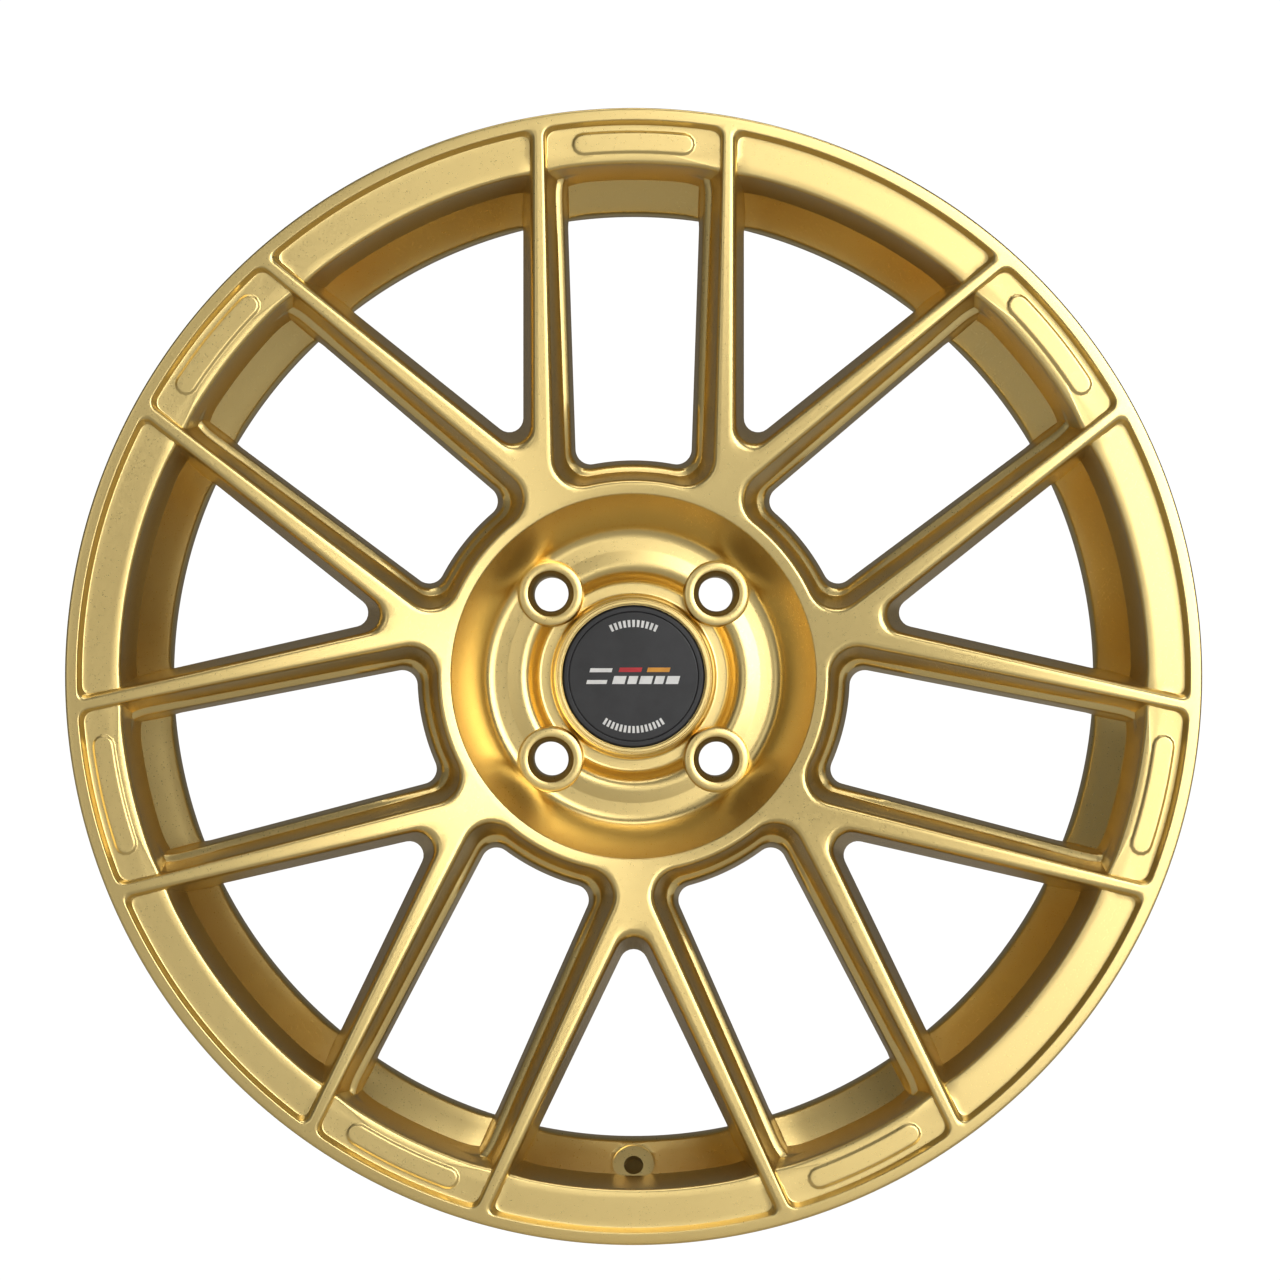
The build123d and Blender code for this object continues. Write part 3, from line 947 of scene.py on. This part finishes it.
@dataclass(frozen=True)
class Finish:
    """A finish: two close colours, a roughness range and a fine bump.

    The colours mix by the cloudiness, and the roughness by the grain.
    """

    name: str
    dark: tuple[float, float, float]
    light: tuple[float, float, float]
    metallic: float
    smooth: float
    rough: float
    grain: float = 900.0
    cloud: float = 9.0
    flecks: float = 0.5
    bump: float = 0.05
    bump_depth: float = 0.00005
    coat: float = 0.0
    coat_roughness: float = 0.3

    def build(self) -> bpy.types.Material:
        """Make the material."""
        material = bpy.data.materials.new(self.name)
        material.use_nodes = True
        tree = material.node_tree
        shader = tree.nodes["Principled BSDF"]
        place = tree.nodes.new("ShaderNodeTexCoord")
        surface = tree.nodes.new("ShaderNodeGroup")
        surface.node_tree = surface_group()
        fill(surface, {"Grain": self.grain, "Cloud": self.cloud, "Flecks": self.flecks})
        tree.links.new(place.outputs["Object"], surface.inputs["Vector"])
        colour = self._ramp(tree, surface.outputs["Cloud"], (*self.dark, 1), (*self.light, 1))
        tree.links.new(colour.outputs["Color"], shader.inputs["Base Color"])
        span = tree.nodes.new("ShaderNodeMapRange")
        fill(span, {"From Min": 0.3, "From Max": 0.7, "To Min": self.smooth, "To Max": self.rough})
        tree.links.new(surface.outputs["Grain"], span.inputs["Value"])
        tree.links.new(span.outputs["Result"], shader.inputs["Roughness"])
        bump = tree.nodes.new("ShaderNodeBump")
        fill(bump, {"Strength": self.bump, "Distance": self.bump_depth})
        tree.links.new(surface.outputs["Height"], bump.inputs["Height"])
        tree.links.new(bump.outputs["Normal"], shader.inputs["Normal"])
        fill(shader, {"Metallic": self.metallic, "Coat Weight": self.coat})
        fill(shader, {"Coat Roughness": self.coat_roughness})
        return material

    @staticmethod
    def _ramp(tree: Tree, value: bpy.types.NodeSocket, *colours: tuple) -> Node:
        """A colour ramp between two colours, over the middle of a noise's range."""
        ramp = tree.nodes.new("ShaderNodeValToRGB")
        for stop, position, colour in zip(ramp.color_ramp.elements, (0.36, 0.64), colours):
            stop.position = position
            stop.color = colour
        tree.links.new(value, ramp.inputs["Fac"])
        return ramp


GOLD = Finish(
    "satin_gold_paint", (0.79, 0.595, 0.235), (0.84, 0.645, 0.265), 1.0, 0.27, 0.35,
    grain=1400.0, cloud=7.0, flecks=0.5, bump=0.10, coat=0.06,
)
CAP_BLACK = Finish(
    "satin_black_moulding", (0.014, 0.014, 0.015), (0.022, 0.022, 0.024), 0.0, 0.34, 0.44, cloud=60.0,
)
BADGE_BLACK = Finish("black_foil", (0.017, 0.017, 0.018), (0.024, 0.024, 0.026), 0.0, 0.40, 0.50, cloud=90.0)
PRINT_WHITE = Finish("white_print", (0.74, 0.74, 0.73), (0.84, 0.84, 0.83), 0.0, 0.35, 0.45, cloud=200.0)
PRINT_RED = Finish("red_print", (0.50, 0.012, 0.018), (0.60, 0.018, 0.026), 0.0, 0.35, 0.45, cloud=200.0)
PRINT_AMBER = Finish("amber_print", (0.72, 0.30, 0.02), (0.82, 0.36, 0.03), 0.0, 0.35, 0.45, cloud=200.0)
RING_BLACK = Finish("matt_ring_plastic", (0.035, 0.035, 0.038), (0.06, 0.06, 0.065), 0.0, 0.5, 0.62, bump=0.2)
WIRE_STEEL = Finish("spring_steel", (0.50, 0.50, 0.52), (0.66, 0.66, 0.68), 1.0, 0.22, 0.36, cloud=120.0)


# ---------------------------------------------------------------- assembly


@dataclass
class Assembly:
    """The dressed pieces of the wheel."""

    pieces: list[str] = field(default_factory=list)

    def dress(self, piece: Piece, body: Body, slot: Slot, finish: Finish, *nodes: str) -> None:
        """Give a piece its finish, body and the nodes that it stands for.

        Args:
            piece: the finished piece.
            body: the body that it rides on.
            slot: the record's slot for its finish; not used.
            finish: its finish.
            *nodes: CAD nodes that it replaces.
        """
        made = bpy.data.materials.get(finish.name) or finish.build()
        piece.data.materials.clear()
        piece.data.materials.append(made)
        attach(piece, body.value)
        if nodes:
            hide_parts(*nodes)
        self.pieces.append(piece.name)
        LOG.info("%s: %d faces, %s", piece.name, len(piece.data.polygons), finish.name)


@dataclass
class Badge:
    """The printed marks on the badge disc: generic bars and ticks, with no lettering."""

    depth: float = 41.86
    height: float = 0.06
    tick_radius: float = 22.6
    tick_height: float = 3.0
    slant: float = 0.28

    def plate(self, outline: list[Flat]) -> Piece:
        """A thin plate with an outline of (sideways, outward) points."""
        Mill.clear()
        bpy.ops.mesh.primitive_circle_add(vertices=len(outline), radius=1, fill_type="NGON")
        piece = bpy.context.object
        for vertex, (u, w) in zip(piece.data.vertices, outline):
            vertex.co = Mill.place(u, w, self.depth)
        bpy.ops.object.mode_set(mode="EDIT")
        bpy.ops.mesh.select_all(action="SELECT")
        move = {"value": (0, -self.height * MM, 0)}
        bpy.ops.mesh.extrude_region_move(TRANSFORM_OT_translate=move)
        bpy.ops.object.mode_set(mode="OBJECT")
        return piece

    def bar(self, left: float, low: float, width: float, height: float) -> Piece:
        """A slanted bar with its lower left corner at a place."""
        right, top, lean = left + width, low + height, height * self.slant
        return self.plate([(left, low), (right, low), (right + lean, top), (left + lean, top)])

    def tick(self, angle: float, half: float) -> Piece:
        """A short tick on the ring of marks, at an angle from the top in degrees."""
        inner, outer = self.tick_radius - self.tick_height / 2, self.tick_radius + self.tick_height / 2
        turns = (radians(angle - half), radians(angle), radians(angle + half))
        outline = [polar(inner, turn) for turn in turns] + [polar(outer, turn) for turn in turns[::-1]]
        return self.plate(outline)

    def white(self) -> Piece:
        """The white marks: two arcs of ticks and a row of slanted bars."""
        marks = [self.tick(4.9 * number, 1.45) for number in range(-5, 6)]
        marks += [self.tick(180 + 4.6 * number, 1.35) for number in range(-7, 8)]
        marks += [self.bar(-20.2, -3.2, 8.6, 1.7), self.bar(-18.8, 1.8, 9.4, 1.7)]
        left = -9.2
        for width in (6.4, 5.0, 6.4, 5.0, 6.4):
            marks.append(self.bar(left, -3.2, width - 1.1, 3.4))
            left += width
        return Mill.welded(Mill.joined("badge_white_marks", marks), 0.001)

    def stripe(self, name: str, left: float, width: float) -> Piece:
        """One coloured stripe above the row of bars."""
        piece = self.bar(left, 1.9, width, 1.9)
        piece.name = name
        return Mill.welded(piece, 0.001)


# ---------------------------------------------------------------- stage


@dataclass
class Stage:
    """The camera, the lights, the floor and the pale surroundings."""

    distance: float = 1.475
    lens: float = 100.2
    floor_level: float = -0.2356
    glow: float = 1.05

    def camera(self) -> None:
        """The camera, square on to the street face."""
        data = bpy.data.cameras.new("camera")
        camera = bpy.data.objects.new("camera", data)
        bpy.context.scene.collection.objects.link(camera)
        camera.location = (0, Mill.street - self.distance, 0)
        camera.rotation_euler = (pi / 2, 0, 0)
        data.lens = self.lens
        data.sensor_width = 36
        data.shift_x, data.shift_y = 0.005, 0.0285
        bpy.context.scene.camera = camera

    def light(self, name: str, place: Point, size: Flat, energy: float) -> None:
        """A soft rectangular light that looks at the wheel's centre.

        Args:
            name: the light's name.
            place: where it stands, in metres.
            size: its width and height, in metres.
            energy: its power in watts.
        """
        data = bpy.data.lights.new(name, "AREA")
        data.shape = "RECTANGLE"
        data.energy = energy
        data.size, data.size_y = size
        light = bpy.data.objects.new(name, data)
        light.location = place
        light.rotation_euler = (-Vector(place)).to_track_quat("-Z", "Y").to_euler()
        bpy.context.scene.collection.objects.link(light)

    def lights(self) -> None:
        """A large key light in front, and weaker ones above and on the left."""
        self.light("key_light", (1.2, -2.8, 0.55), (2.0, 1.9), 52)
        self.light("left_light", (-1.3, -2.8, 0.6), (1.0, 1.6), 5)
        self.light("top_light", (0.1, -0.9, 2.3), (1.6, 0.9), 12)

    def surroundings(self) -> None:
        """White to the camera, and a soft grey room to the wheel."""
        world = bpy.data.worlds.new("studio")
        bpy.context.scene.world = world
        world.use_nodes = True
        bpy.context.scene.view_settings.view_transform = "Standard"
        tree = world.node_tree
        room = tree.nodes["Background"]
        fill(room, {"Color": (1, 0.99, 0.97, 1), "Strength": 0.12})
        white = tree.nodes.new("ShaderNodeBackground")
        fill(white, {"Color": (1, 1, 1, 1), "Strength": self.glow})
        self._split(tree, room, white, "World Output")

    @staticmethod
    def _split(tree: Tree, lit: Node, seen: Node, output: str) -> None:
        """Show the seen shader to the camera, and the lit one to everything else."""
        path = tree.nodes.new("ShaderNodeLightPath")
        mix = tree.nodes.new("ShaderNodeMixShader")
        tree.links.new(path.outputs["Is Camera Ray"], mix.inputs["Fac"])
        tree.links.new(lit.outputs[0], mix.inputs[1])
        tree.links.new(seen.outputs[0], mix.inputs[2])
        tree.links.new(mix.outputs["Shader"], tree.nodes[output].inputs["Surface"])

    def floor(self) -> None:
        """The pale floor that the wheel stands on."""
        Mill.clear()
        bpy.ops.mesh.primitive_plane_add(size=8, location=(0, 0, self.floor_level))
        floor = bpy.context.object
        floor.name = "floor"
        material = bpy.data.materials.new("pale_floor")
        material.use_nodes = True
        tree = material.node_tree
        shader = tree.nodes["Principled BSDF"]
        fill(shader, {"Base Color": (0.8, 0.8, 0.8, 1), "Roughness": 0.9})
        glow = tree.nodes.new("ShaderNodeEmission")
        fill(glow, {"Strength": self.glow})
        self._split(tree, shader, glow, "Material Output")
        floor.data.materials.append(material)
        floor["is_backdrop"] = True


def main() -> None:
    """Build the wheel piece by piece, then the stage."""
    logging.basicConfig(level=logging.INFO)
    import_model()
    cad_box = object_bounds()
    Mill.street = float(cad_box[0][1])
    stage = Stage()
    stage.camera()
    wheel = Assembly()
    zones = ["front_flange", "front_bead_seat", "front_well_side", "drop_well"]
    zones += ["rear_well_side", "rear_barrel", "rear_bead_seat", "rear_flange", "wheel_centre"]
    spokes = [f"spoke_{number:02d}" for number in range(1, 2 * PAIRS + 1)]
    wheel.dress(Forging().build(), Body.WHEEL, Slot.GOLD, GOLD, *zones, *spokes)
    wheel.dress(CentringRing().build(71.4), Body.WHEEL, Slot.RING, RING_BLACK, "hub_ring")
    cap = Cap()
    wheel.dress(cap.shell(), Body.CAP, Slot.CAP, CAP_BLACK, "cap_shell")
    wheel.dress(cap.badge(), Body.CAP, Slot.BADGE, BADGE_BLACK, "cap_badge")
    wheel.dress(cap.wire(), Body.CAP, Slot.WIRE, WIRE_STEEL, "cap_wire_ring")
    badge = Badge()
    wheel.dress(badge.white(), Body.CAP, Slot.BADGE, PRINT_WHITE)
    wheel.dress(badge.stripe("badge_red_stripe", -6.4, 9.6), Body.CAP, Slot.BADGE, PRINT_RED)
    wheel.dress(badge.stripe("badge_amber_stripe", 5.6, 9.6), Body.CAP, Slot.BADGE, PRINT_AMBER)
    stage.floor()
    stage.lights()
    stage.surroundings()
    LOG.info("%d pieces in all", len(wheel.pieces))


if __name__ == "__main__":
    main()
